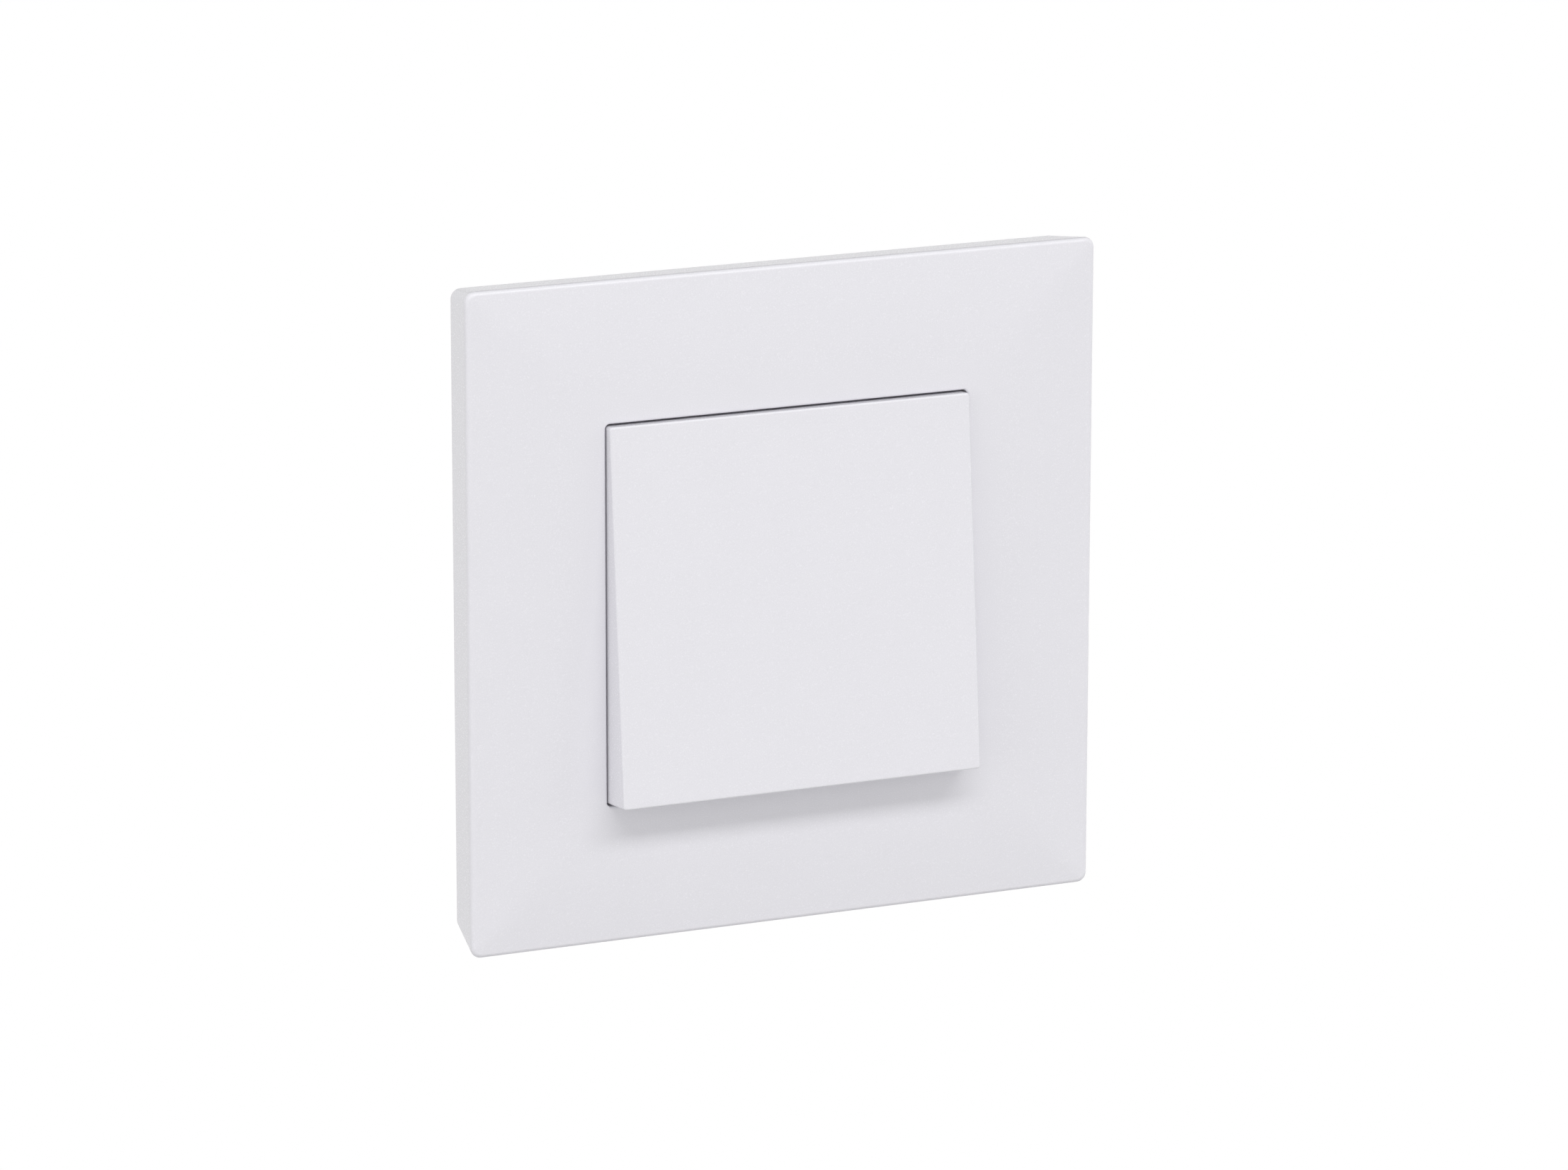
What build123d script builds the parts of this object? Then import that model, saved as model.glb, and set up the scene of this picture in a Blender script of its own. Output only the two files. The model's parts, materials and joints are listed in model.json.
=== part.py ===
from build123d import *
from math import asin, atan, cos, degrees, pi, radians, sin, sqrt, tan
import os

# Flush rocker light switch for a 60 mm wall box, in millimetres.
# The origin is the middle of the wall plane: X to the right, Z up, and Y into the wall,
# so what stands in front of the wall has negative Y. The rocker is shown with its top pressed in.

# Cover frame
frame_depth = 9.35          # wall to the flat middle of the front
frame_flare = 1.35          # how far the sides lean out on their way to the front, each side
frame_wall = 2.0
frame_corner = 1.3
frame_edge_round = 0.6
edge_steps = 4              # sections along the rounded edge
crown_drop = 0.9            # how far the front curves back at the outer edge
crown_margin = 1.35         # from the opening to where the front begins to curve
crown_corner = 3.5          # the mitres between the curved sides soften to this radius
crown_steps = 4             # sections along the curve
opening = 48.55
opening_corner = 0.6
opening_edge_round = 0.3
collar_wall = 1.4
rib_wall = 1.0
rib_depth = 3.4             # from the skin backwards
rib_spacing = 15.0

# Rocker
rocker_side_gap = 0.175     # to the opening, left and right
rocker_end_gap = 0.275      # to the opening, top and bottom, at the skirt's back edge
rocker_end_draft = 1.7      # degrees
rocker_wall = 1.5
rocker_face = 1.6
rocker_skirt = 7.0
rocker_corner = 0.4
rocker_edge_round = 0.25
rocker_tilt = 5.0           # degrees each side of level
pivot_depth = 8.2           # wall to the rocker's axis
pivot_to_face = 4.2
trunnion_r = 1.5
trunnion_clearance = 0.05
carrier_front = 1.3         # carrier plate, in front of and behind the axis
carrier_back = 1.2
carrier_half_z = 8.4
leg_wall = 1.3
leg_width = 6.0
leg_hook = 0.7
leg_x = 7.0
fit_clearance = 0.15        # between pieces that are clipped or laid together
pick_tolerance = 1e-3       # when edges are picked by their place

# Spring barrel and plunger
barrel_bore_r = 2.1
barrel_wall = 1.1
barrel_length = 9.0         # behind the axis
web_length = 6.3            # webs beside the barrel, behind the axis
plunger_reach = 14.0        # axis to the plunger's tip
plunger_clearance = 0.1
plunger_tip_r = 1.2
plunger_tail = 5.0          # length of the plunger that is inside the barrel
spring_wire = 0.36
spring_wire_sides = 6       # the wire is drawn with few faces: it is too thin to tell
spring_turns = 6
spring_seat = 1.0           # bottom of the barrel's bore, behind the axis
spring_play = 0.15          # round the spring, and at its two ends

# Support plate
plate_t = 1.2
plate_margin = 2.0          # past the end of a slot
plate_edge_gap = 3.25       # to the frame's rim, inside it
plate_corner = 4.0
plate_clearance = 0.3       # round the housing
box_screw_pitch = 60.0
box_slot_r = 2.1
box_slot_length = 7.0
plate_flange = 2.0          # height of the stiffening edges
plate_flange_length = 44.0
lug_gap = 1.0               # frame lugs, from the frame's collar
lug_width = 7.0
lug_height = 4.6
lug_z = 15.0
lug_window = 1.8
tongue_width = 4.0
tongue_wall = 1.2
tongue_clearance = 0.3

# Housing
flange_clearance_x = 2.0    # from the rocker's skirt to the housing's flange
flange_clearance_z = 1.2
flange_ledge = 1.5          # how far the flange stands out over the body
flange_t = 1.2
cover_t = 1.2
body_wall = 1.5
body_corner = 2.0
rear_wall = 1.8
floor_t = 1.7
waist_half_z = 6.4
boss_r = 2.1
cover_screw_r = 1.0
cover_screw_head_r = 1.9
cover_screw_head = 1.3
cover_screw_length = 8.0
screw_clearance = 0.05
cheek_wall = 2.0
cheek_half_z = 4.4
cheek_front = 1.8           # in front of the axis
cheek_mouth = 2.5
cheek_taper = 0.35          # how far the cheek's lips lean in
window_clearance = 1.2      # round the swinging barrel
snap_width = 6.0
snap_out = 0.9
snap_length = 3.0
snap_z = 13.0

# Contacts and terminals
lever_t = 1.0
lever_half_x = 2.6
lever_end_round = 2.0
lever_overhang = 2.2        # beyond the middle of the contact tips
lever_clearance = 0.12      # to the plunger as it passes the middle
ridge_r = 0.8
ridge_clearance = 0.05
lever_seat = 0.67           # lever's back to the middle of the ridge
contact_gap = 3.0
tip_r = 1.8
tip_height = 0.8
tip_dome_r = 5.0
closed_gap = 0.1            # between tips that are closed
bar_t = 1.0
bar_half_z = 2.5
bar_end = 3.0               # past the middle of the switch
tail_width = 4.4
tail_length = 6.2
bend_r = 0.5
clamp_wall = 0.8
clamp_top = 1.4
clamp_side_gap = 0.1        # each side of the tail
clamp_length = 5.0
wire_size = 3.2
wire_corner = 0.5
clamp_screw_r = 1.75
clamp_screw_point_r = 1.2
clamp_screw_room = 1.8      # between the tail and the clamp's top
clamp_screw_head_r = 2.9
clamp_screw_head = 1.9
clamp_screw_gap = 0.5       # under the head
clamp_top_gap = 1.6         # clamp to the housing's wall
pocket_clearance = 0.3
slot_width = 0.8            # screwdriver slots
slot_share = 0.55           # slot's depth, of the head's height
head_top_share = 0.8        # flat top of a screw head, of its radius
head_side_share = 0.6       # upright side of a screw head, of its height

# Spreading claws
claw_half_z = 3.8
claw_t = 1.2
claw_pin_r = 0.9
claw_pin_gap = 1.7          # pin's middle to the housing's side
claw_pin_depth = 3.2        # behind the wall plane
claw_eye_wall = 0.9
claw_length = 17.0          # pin to the start of the hook
claw_hook = 3.2             # how far the hook stands out
claw_hook_back = 1.9        # hook's heel behind its start
claw_heel_past = 0.5        # heel's end beyond the screw's point
claw_lug_gap = 0.3
claw_screw_arm = 3.4        # pin to the screw's axis
claw_screw_r = 1.5
claw_screw_point_r = 0.8
claw_screw_point = 1.6
claw_screw_gap = 0.1        # to the heel
claw_screw_head_r = 2.3
claw_screw_head = 1.8
claw_screw_travel = 1.2
thread_collar_wall = 0.7
thread_collar = 1.0

# Plate and frame, worked out from the wall box
plate_size = box_screw_pitch + box_slot_length + 2 * plate_margin
frame_rim = plate_size + 2 * plate_edge_gap + 2 * frame_wall
frame_front = frame_rim + 2 * frame_flare

# Crowned front, a large arc that starts beside the opening
crown_flat = opening / 2 + crown_margin
crown_run = frame_front / 2 - crown_flat
crown_r = (crown_run ** 2 + crown_drop ** 2) / (2 * crown_drop)

# Rocker, worked out from the opening
rocker_width = opening - 2 * rocker_side_gap
rocker_base_height = opening - 2 * rocker_end_gap
rocker_height = rocker_base_height - 2 * rocker_skirt * tan(radians(rocker_end_draft))
pivot = Pos(0, -pivot_depth, 0)
rocker_rest = pivot * Rot(-rocker_tilt, 0, 0)

# Housing, worked out from the room inside the rocker's skirt
flange_half_x = rocker_width / 2 - rocker_wall - flange_clearance_x
flange_half_z = rocker_base_height / 2 - rocker_wall - flange_clearance_z
body_half_x = flange_half_x - flange_ledge
body_half_z = flange_half_z - flange_ledge
flange_front = -plate_t - flange_t
cover_front = flange_front - cover_t
boss_x = body_half_x - body_wall - boss_r + fit_clearance
boss_z = body_half_z - body_wall - boss_r + fit_clearance

# Claws, beside the housing's waist
claw_pin_x = body_half_x + claw_pin_gap
claw_eye_r = claw_pin_r + claw_eye_wall
claw_screw_x = claw_pin_x - claw_screw_arm
claw_heel_front = claw_pin_depth - claw_t / 2
claw_heel_end = claw_screw_arm + claw_screw_point_r + claw_heel_past
thread_collar_r = claw_screw_r + screw_clearance + thread_collar_wall
waist_half_x = claw_screw_x - thread_collar_r - 2 * plate_clearance
carrier_half_x = waist_half_x - cheek_wall - fit_clearance

# Terminals, stacked inwards from the housing's top and bottom walls
clamp_half_x = tail_width / 2 + clamp_side_gap + clamp_wall
terminal_x = boss_x - boss_r - pocket_clearance - clamp_half_x
clamp_top_z = body_half_z - body_wall - clamp_top_gap
tail_top_z = clamp_top_z - clamp_top - clamp_screw_room
tail_bottom_z = tail_top_z - bar_t
clamp_bottom_z = tail_bottom_z - wire_size - clamp_wall
contact_arm = tail_top_z - bar_half_z

# Contact lever, behind the plunger
lever_tilt = degrees(asin(contact_gap / 2 / contact_arm))
lever_axis_y = -pivot_depth + plunger_reach + lever_clearance + lever_t + lever_seat
lever_axis = Pos(0, lever_axis_y, 0)
lever_rest = lever_axis * Rot(lever_tilt, 0, 0)
tip_reach = (
    (tip_height - lever_seat - tip_dome_r) * cos(radians(lever_tilt))
    + contact_arm * sin(radians(lever_tilt))
    + tip_dome_r
)
bar_front = lever_axis_y + tip_reach + closed_gap + tip_height
floor_y = bar_front + bar_t
clamp_y = floor_y + bend_r + clamp_length / 2 + pocket_clearance
rear_inner = floor_y + tail_length + pocket_clearance
rear_y = rear_inner + rear_wall

# Frame lugs and tongues
collar_half = opening / 2 + collar_wall
lug_x = collar_half + lug_gap
tongue_x = lug_x + plate_t + tongue_clearance
lug_tip = -plate_t - lug_height
window_middle = -plate_t - lug_height / 2


def slab(outline, back, front):
    """A flat outline drawn in X and Z, solid from one depth (Y) to a nearer one."""
    return extrude(Plane.XZ.offset(-back) * outline, amount=back - front)


def along_x(profile, left, right):
    """A profile drawn in Y and Z, solid from one X to another."""
    return extrude(Plane.YZ.offset(left) * profile, amount=right - left)


def along_z(profile, half):
    """A profile drawn in X and Y, solid to both sides of the middle height."""
    return extrude(Plane.XY * profile, amount=half, both=True)


def rectangle(x0, x1, z0, z1):
    """A rectangle given by its two sides and its bottom and top."""
    return Pos((x0 + x1) / 2, (z0 + z1) / 2) * Rectangle(x1 - x0, z1 - z0)


def both_sides(shape):
    """A shape and its mirror image left of the middle."""
    return shape + mirror(shape, about=Plane.YZ)


def four_ways(shape):
    """A shape mirrored to all four quarters."""
    pair = both_sides(shape)
    return pair + mirror(pair, about=Plane.XY)


def quarters(shape):
    """A shape of the upper right quarter and its three mirror images, as separate solids."""
    left = mirror(shape, about=Plane.YZ)
    return [shape, left, mirror(shape, about=Plane.XY), mirror(left, about=Plane.XY)]


def screw(head_r, head, shank_r, length, point_r, point):
    """A slotted pan head screw along Z: the underside of its head is at Z = 0, its point below."""
    shoulder = point - length
    outline = Polyline(
        (0, head), (head_r * head_top_share, head), (head_r, head * head_side_share), (head_r, 0),
        (shank_r, 0),
        (shank_r, shoulder + shank_r - point_r), (point_r, shoulder), (point_r, -length), (0, -length),
        close=True,
    )
    body = revolve(Plane.XZ * make_face(outline), axis=Axis.Z)
    depth = head * slot_share
    return body - Pos(0, 0, head - depth / 2) * Box(3 * head_r, slot_width, depth)


def facing_front(shape, x, y, z):
    """A screw made along Z, turned so that its head faces the room."""
    return Pos(x, y, z) * Rot(90, 0, 0) * shape


def crown_fall(half):
    """How far the front has curved back at a distance from the middle."""
    return crown_r - sqrt(crown_r ** 2 - (half - crown_flat) ** 2)


def square_ring(half, corner, y):
    """A square with rounded corners, at one depth."""
    return Plane.XZ.offset(-y) * RectangleRounded(2 * half, 2 * half, corner)


def frame_block(inset):
    """The frame's flared block with rounded edges and crowned front, smaller by the inset."""
    rim = frame_rim / 2 - inset
    front = frame_depth - inset
    reach = rim + frame_flare * (front - crown_drop) / (frame_depth - crown_drop)
    edge_y = crown_fall(reach) - front
    lean = atan((reach - rim) / -edge_y)
    slope = asin((reach - crown_flat) / crown_r)
    setback = frame_edge_round / tan((pi / 2 - lean + slope) / 2)
    side_half = reach - setback * sin(lean)
    side_y = edge_y + setback * cos(lean)
    middle = side_half - frame_edge_round * cos(lean)
    middle_y = side_y - frame_edge_round * sin(lean)

    edge = []
    for n in range(edge_steps + 1):
        angle = lean + (slope - pi / 2 - lean) * n / edge_steps
        half = middle + frame_edge_round * cos(angle)
        y = middle_y + frame_edge_round * sin(angle)
        edge.append(square_ring(half, frame_corner + half - side_half, y))
    corner = frame_corner + half - side_half

    crown = [edge[-1]]
    for n in range(1, crown_steps + 1):
        share = n / crown_steps
        ring_half = half + (crown_flat - half) * share
        ring_corner = corner + (crown_corner - corner) * share
        crown.append(square_ring(ring_half, ring_corner, crown_fall(ring_half) - front))
    side = [square_ring(rim, frame_corner, 0), edge[0]]
    return loft(side) + loft(edge) + loft(crown)


def frame_tongue():
    """One snap tongue of the frame, with the nib that catches in a lug's window."""
    root = -frame_depth + frame_wall / 2
    tip = -plate_t - tongue_clearance
    nib = lug_window / 2 - tongue_clearance
    outline = Polyline(
        (tongue_x, root), (tongue_x + tongue_wall, root), (tongue_x + tongue_wall, tip),
        (tongue_x, tip), (tongue_x, window_middle + nib),
        (tongue_x - tongue_clearance - plate_t / 2, window_middle - nib / 2),
        (tongue_x - tongue_clearance - plate_t / 2, window_middle - nib),
        (tongue_x, window_middle - nib), close=True,
    )
    return Pos(0, 0, lug_z) * along_z(make_face(outline), tongue_width / 2)


def cover_frame():
    """Moulded frame: flared sides, crowned front, a collar round the opening, ribs and tongues."""
    block = frame_block(0)
    hollow = frame_block(frame_wall)
    collar = RectangleRounded(2 * collar_half, 2 * collar_half, opening_corner + collar_wall)
    hollow -= slab(collar, 0, -frame_depth)
    rib_back = -frame_depth + frame_wall + rib_depth
    ribs = Sketch()
    for n in (-1, 0, 1):
        ribs += rectangle(-frame_rim / 2, frame_rim / 2,
                          n * rib_spacing - rib_wall / 2, n * rib_spacing + rib_wall / 2)
    ribs += Rot(0, 0, 90) * ribs
    lug_room = four_ways(
        Pos(tongue_x, rib_back, lug_z)
        * Box(2 * (plate_t + tongue_wall + lug_gap), 2 * frame_depth, lug_width + 2 * tongue_clearance)
    )
    rib_solids = slab(ribs, rib_back, -frame_depth) & hollow
    shell = block - hollow + (rib_solids - lug_room) + four_ways(frame_tongue())
    shell -= slab(collar, 0, -plate_t)
    shell -= slab(RectangleRounded(opening, opening, opening_corner), 0, -2 * frame_depth)
    rim = [
        e for e in shell.edges()
        if abs(e.center().Y + frame_depth) < pick_tolerance
        and max(abs(e.center().X), abs(e.center().Z)) < opening / 2 + pick_tolerance
    ]
    return fillet(rim, opening_edge_round)


def rocker_cap():
    """Rocker shell about its own axis: flat face, drafted skirt, seats and four snap legs."""
    back = rocker_skirt - pivot_to_face

    def block(inset):
        """The rocker's outer or inner form."""
        face = Plane.XZ.offset(pivot_to_face) * RectangleRounded(
            rocker_width - 2 * inset, rocker_height - 2 * inset, rocker_corner)
        base = Plane.XZ.offset(-back) * RectangleRounded(
            rocker_width - 2 * inset, rocker_base_height - 2 * inset, rocker_corner)
        return loft([base, face])

    outer = block(0)
    outer = fillet(outer.faces().sort_by(Axis.Y)[0].edges(), rocker_edge_round)
    inner_front = -pivot_to_face + rocker_face
    hollow = block(rocker_wall) & slab(Rectangle(2 * opening, 2 * opening), back, inner_front)
    shell = outer - hollow
    hook_front = carrier_back + fit_clearance
    hook_back = hook_front + leg_wall
    leg_in = carrier_half_z + fit_clearance
    leg = Polyline(
        (inner_front - rocker_face / 2, leg_in), (hook_front, leg_in), (hook_front, leg_in - leg_hook),
        (hook_back, leg_in), (hook_back, leg_in + leg_wall),
        (inner_front - rocker_face / 2, leg_in + leg_wall), close=True,
    )
    legs = along_x(make_face(leg), leg_x - leg_width / 2, leg_x + leg_width / 2)
    seat = rectangle(leg_x - leg_width / 2, leg_x + leg_width / 2,
                     carrier_half_z - leg_wall, carrier_half_z + leg_wall)
    seats = slab(seat, -carrier_front, inner_front - rocker_face / 2)
    ribs = Sketch()
    rib_x = carrier_half_x + cheek_wall + 2 * leg_wall
    for x in (-rib_x, 0, rib_x):
        ribs += rectangle(x - rib_wall / 2, x + rib_wall / 2,
                          carrier_half_z + 2 * leg_wall, rocker_height / 2 - rocker_wall / 2)
    ribs += mirror(ribs, about=Plane.XZ)
    rib_solids = slab(ribs, inner_front + rocker_face, inner_front - rocker_face / 2)
    return shell + four_ways(legs) + four_ways(seats) + rib_solids


def rocker_carrier():
    """Cradle about its own axis: plate, two trunnions and the barrel of the toggle spring."""
    plate = slab(RectangleRounded(2 * carrier_half_x, 2 * carrier_half_z, rocker_corner),
                 carrier_back, -carrier_front)
    pin_length = carrier_half_x + fit_clearance + cheek_wall
    pins = Rot(0, 90, 0) * Cylinder(trunnion_r, 2 * pin_length)
    barrel = Rot(90, 0, 0) * Cylinder(barrel_bore_r + barrel_wall, 2 * barrel_length)
    barrel &= Pos(0, barrel_length / 2, 0) * Box(opening, barrel_length, opening)
    webs = Polyline((0, barrel_bore_r), (web_length, barrel_bore_r),
                    (carrier_back, carrier_half_z), (0, carrier_half_z), close=True)
    web = along_x(make_face(webs), -rib_wall / 2, rib_wall / 2)
    body = plate + pins + barrel + web + mirror(web, about=Plane.XY)
    bore = barrel_length - spring_seat
    return body - Pos(0, spring_seat + bore / 2, 0) * Rot(90, 0, 0) * Cylinder(barrel_bore_r, bore)


def plunger():
    """Turned pusher about the rocker's axis, hollow for the spring and rounded at its tip."""
    r = barrel_bore_r - plunger_clearance
    start = barrel_length - plunger_tail
    shoulder = plunger_reach - 2 * plunger_tip_r
    spring_room = spring_outer_r() + spring_play
    outline = make_face([
        Polyline((spring_room, start), (r, start), (r, barrel_length), (plunger_tip_r, shoulder),
                 (plunger_tip_r, plunger_reach - plunger_tip_r)),
        RadiusArc((plunger_tip_r, plunger_reach - plunger_tip_r), (0, plunger_reach), -plunger_tip_r),
        Polyline((0, plunger_reach), (0, spring_end_y()), (spring_room, spring_end_y()),
                 (spring_room, start)),
    ])
    return revolve(Plane.XY * outline, axis=Axis.Y)


def spring_outer_r():
    """Radius over the spring, which stands inside the hollow plunger."""
    return barrel_bore_r - plunger_clearance - plunger_clearance - spring_wire - spring_play


def spring_end_y():
    """Bottom of the plunger's hollow, where the spring pushes."""
    return barrel_length + plunger_tip_r / 2


def toggle_spring():
    """Coil spring about the rocker's axis, from the barrel's bottom to the plunger's."""
    low = spring_seat + spring_play + spring_wire / 2
    height = spring_end_y() - spring_play - spring_wire / 2 - low
    radius = spring_outer_r() - spring_wire / 2
    path = Helix(pitch=height / spring_turns, height=height, radius=radius)
    start = Plane(origin=path @ 0, z_dir=path % 0)
    wire = RegularPolygon(spring_wire / 2, spring_wire_sides)
    coil = sweep(start * wire, path=path, is_frenet=True)
    return Pos(0, low, 0) * Rot(-90, 0, 0) * coil


def housing_outline(half_x, half_z, inset):
    """Outline of the housing with its two waists, smaller all round by the inset."""
    outline = RectangleRounded(2 * (half_x - inset), 2 * (half_z - inset), body_corner)
    side = rectangle(waist_half_x - inset, 2 * half_x, -waist_half_z - inset, waist_half_z + inset)
    return outline - side - mirror(side, about=Plane.YZ)


def support_plate():
    """Stamped plate with slots for the box screws, frame lugs bent forward and claw lugs bent back."""
    outline = RectangleRounded(plate_size, plate_size, plate_corner)
    outline -= housing_outline(body_half_x, body_half_z, -plate_clearance)
    slot = SlotOverall(box_slot_length, 2 * box_slot_r)
    for side in (-1, 1):
        outline -= Pos(side * box_screw_pitch / 2, 0) * slot
        outline -= Pos(0, side * box_screw_pitch / 2) * Rot(0, 0, 90) * slot
    lug_cut = rectangle(lug_x + plate_t, lug_x + plate_t + lug_height,
                        lug_z - lug_width / 2, lug_z + lug_width / 2)
    claw_lug_z = claw_half_z + claw_lug_gap
    claw_lug_tip = claw_pin_depth + claw_eye_r
    claw_cut = rectangle(body_half_x, claw_pin_x + claw_eye_r, claw_lug_z + plate_t,
                         claw_lug_z + plate_t + claw_lug_tip)
    for cut in (lug_cut, claw_cut):
        pair = cut + mirror(cut, about=Plane.YZ)
        outline -= pair + mirror(pair, about=Plane.XZ)
    plate = slab(outline, 0, -plate_t)

    edge = rectangle(plate_size / 2 - plate_t, plate_size / 2,
                     -plate_flange_length / 2, plate_flange_length / 2)
    plate += both_sides(slab(edge, -plate_t / 2, -plate_t - plate_flange))

    lug = Pos(lug_x + plate_t / 2, (lug_tip - plate_t / 2) / 2, lug_z) * Box(
        plate_t, -plate_t / 2 - lug_tip, lug_width)
    lug -= Pos(lug_x, window_middle, lug_z) * Box(
        3 * plate_t, lug_window, tongue_width + 2 * tongue_clearance)
    plate += four_ways(lug)

    lug_outline = SlotOverall(2 * (claw_lug_tip + plate_t / 2), 2 * claw_eye_r)
    upright = Pos(claw_pin_x, -plate_t / 2, claw_lug_z) * extrude(
        Rot(0, 0, 90) * lug_outline, amount=plate_t)
    upright &= Pos(claw_pin_x, frame_depth - plate_t / 2, 0) * Box(
        4 * claw_eye_r, 2 * frame_depth, plate_size)
    upright -= Pos(claw_pin_x, claw_pin_depth, 0) * Cylinder(claw_pin_r + screw_clearance, plate_size)
    plate += four_ways(upright)

    collar = Pos(claw_screw_x, 0) * Circle(thread_collar_r)
    plate += both_sides(slab(collar, thread_collar, -plate_t))
    hole = Pos(claw_screw_x, 0) * Circle(claw_screw_r + screw_clearance)
    return plate - both_sides(slab(hole, thread_collar, -plate_t))


def housing_base():
    """Moulded pot: flange in front of the plate, contact floor, terminal pockets, cored back."""
    body = slab(housing_outline(body_half_x, body_half_z, 0), rear_y, -plate_t)
    body = chamfer(body.faces().sort_by(Axis.Y)[-1].edges(), rear_wall / 2)
    body += slab(housing_outline(flange_half_x, flange_half_z, 0), -plate_t, flange_front)
    body -= slab(housing_outline(body_half_x, body_half_z, body_wall), floor_y, flange_front)

    boss = Pos(boss_x, boss_z) * Circle(boss_r)
    body += four_ways(slab(boss, floor_y, flange_front))
    pilot = Pos(boss_x, boss_z) * Circle(cover_screw_r + screw_clearance)
    body -= four_ways(slab(pilot, flange_front + cover_screw_length, flange_front))

    pocket = rectangle(terminal_x - clamp_half_x - pocket_clearance,
                       terminal_x + clamp_half_x + pocket_clearance,
                       clamp_bottom_z - pocket_clearance, body_half_z - body_wall)
    body -= four_ways(slab(pocket, rear_inner, floor_y))
    wire_z = tail_bottom_z - wire_size / 2
    wire = Pos(terminal_x, wire_z) * RectangleRounded(wire_size, wire_size, wire_corner)
    entry = slab(wire, rear_y, rear_inner)
    mouth = wire_size + rear_wall
    entry = entry + loft([
        Plane.XZ.offset(-rear_y) * Pos(terminal_x, wire_z) * Rectangle(mouth, mouth),
        Plane.XZ.offset(rear_wall / 2 - rear_y) * Pos(terminal_x, wire_z) * Rectangle(wire_size, wire_size),
    ])
    body -= four_ways(entry)
    driver = Pos(terminal_x, clamp_y, body_half_z - body_wall) * Cylinder(
        clamp_screw_head_r + pocket_clearance, 4 * body_wall)
    body -= four_ways(driver)

    core_x = terminal_x - clamp_half_x - pocket_clearance - body_wall
    core = Rectangle(2 * core_x, 2 * (body_half_z - 2 * body_wall))
    core -= Rectangle(body_wall, 2 * body_half_z)
    for z in (-contact_arm, 0, contact_arm):
        core -= Pos(0, z) * Rectangle(2 * core_x, body_wall)
    body -= slab(core, rear_y, floor_y + floor_t)

    snap_root = body_half_x - body_wall / 2
    snap = Polyline((snap_root, screw_clearance), (body_half_x + snap_out, screw_clearance),
                    (body_half_x, snap_length), (snap_root, snap_length), close=True)
    snaps = Pos(0, 0, snap_z) * along_z(make_face(snap), snap_width / 2)
    return body + four_ways(snaps)


def housing_cover():
    """Moulded lid with a window for the barrel and two snap-in bearing cheeks for the trunnions."""
    outline = housing_outline(flange_half_x, flange_half_z, 0)
    window_z = barrel_bore_r + barrel_wall + window_clearance + barrel_length * sin(radians(rocker_tilt))
    window_x = barrel_bore_r + barrel_wall + window_clearance
    outline -= RectangleRounded(2 * window_x, 2 * window_z, body_corner)
    hole = Pos(boss_x, boss_z) * Circle(cover_screw_r + screw_clearance)
    pair = hole + mirror(hole, about=Plane.YZ)
    outline -= pair + mirror(pair, about=Plane.XZ)
    lid = slab(outline, flange_front, cover_front)

    tip = -pivot_depth - cheek_front
    neck = trunnion_r + cheek_wall
    root = cover_front + cover_t / 2
    cheek = Polyline((root, -cheek_half_z), (root, cheek_half_z),
                     (-pivot_depth, neck), (tip, neck - cheek_taper), (tip, cheek_taper - neck),
                     (-pivot_depth, -neck), close=True)
    profile = make_face(cheek) - Pos(-pivot_depth, 0) * Circle(trunnion_r + trunnion_clearance)
    profile -= rectangle(2 * tip, -pivot_depth, -cheek_mouth / 2, cheek_mouth / 2)
    left = carrier_half_x + fit_clearance
    cheeks = along_x(profile, left, left + cheek_wall)
    return lid + both_sides(cheeks)


def cover_screws():
    """Four screws that hold the lid to the pot."""
    one = screw(cover_screw_head_r, cover_screw_head, cover_screw_r, cover_screw_length,
                cover_screw_r / 2, cover_screw_r)
    return Compound(children=quarters(facing_front(one, boss_x, cover_front, boss_z)))


def terminal_tail():
    """Bent tail of a contact bar at the upper right terminal, with the bend that leads into it."""
    outer = bend_r + bar_t
    profile = make_face([
        Polyline((bar_front, tail_top_z - outer), (bar_front, tail_top_z - 2 * bar_half_z),
                 (floor_y, tail_top_z - 2 * bar_half_z), (floor_y, tail_top_z - outer)),
        RadiusArc((floor_y, tail_top_z - outer), (floor_y + bend_r, tail_bottom_z), bend_r),
        Polyline((floor_y + bend_r, tail_bottom_z), (floor_y + tail_length, tail_bottom_z),
                 (floor_y + tail_length, tail_top_z), (floor_y + bend_r, tail_top_z)),
        RadiusArc((floor_y + bend_r, tail_top_z), (bar_front, tail_top_z - outer), -outer),
    ])
    return along_x(profile, terminal_x - tail_width / 2, terminal_x + tail_width / 2)


def outgoing_bar():
    """Brass bar of an outgoing terminal: the pad behind the lever and the tail at the left."""
    pad = rectangle(-terminal_x, bar_end, tail_top_z - 2 * bar_half_z, tail_top_z - bar_t - bend_r)
    return slab(pad, floor_y, bar_front) + mirror(terminal_tail(), about=Plane.YZ)


def common_bar():
    """Brass bar of the common terminals: the lever's ridge and two tails at the right."""
    plate = rectangle(-bar_end, terminal_x, -bar_half_z, bar_half_z)
    plate += rectangle(terminal_x - tail_width / 2, terminal_x + tail_width / 2,
                       -tail_top_z + 2 * bar_half_z, tail_top_z - 2 * bar_half_z)
    bar = slab(plate, floor_y, bar_front)
    ridge = rectangle(lever_axis_y, bar_front, -ridge_r, ridge_r) + Pos(lever_axis_y, 0) * Circle(ridge_r)
    tails = terminal_tail()
    return bar + along_x(ridge, -bar_end, bar_end) + tails + mirror(tails, about=Plane.XY)


def fixed_contacts():
    """Silver tips riveted to the two outgoing bars."""
    disc = slab(Pos(0, contact_arm) * Circle(tip_r), bar_front, bar_front - tip_height)
    return Compound(children=[disc, mirror(disc, about=Plane.XY)])


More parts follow.
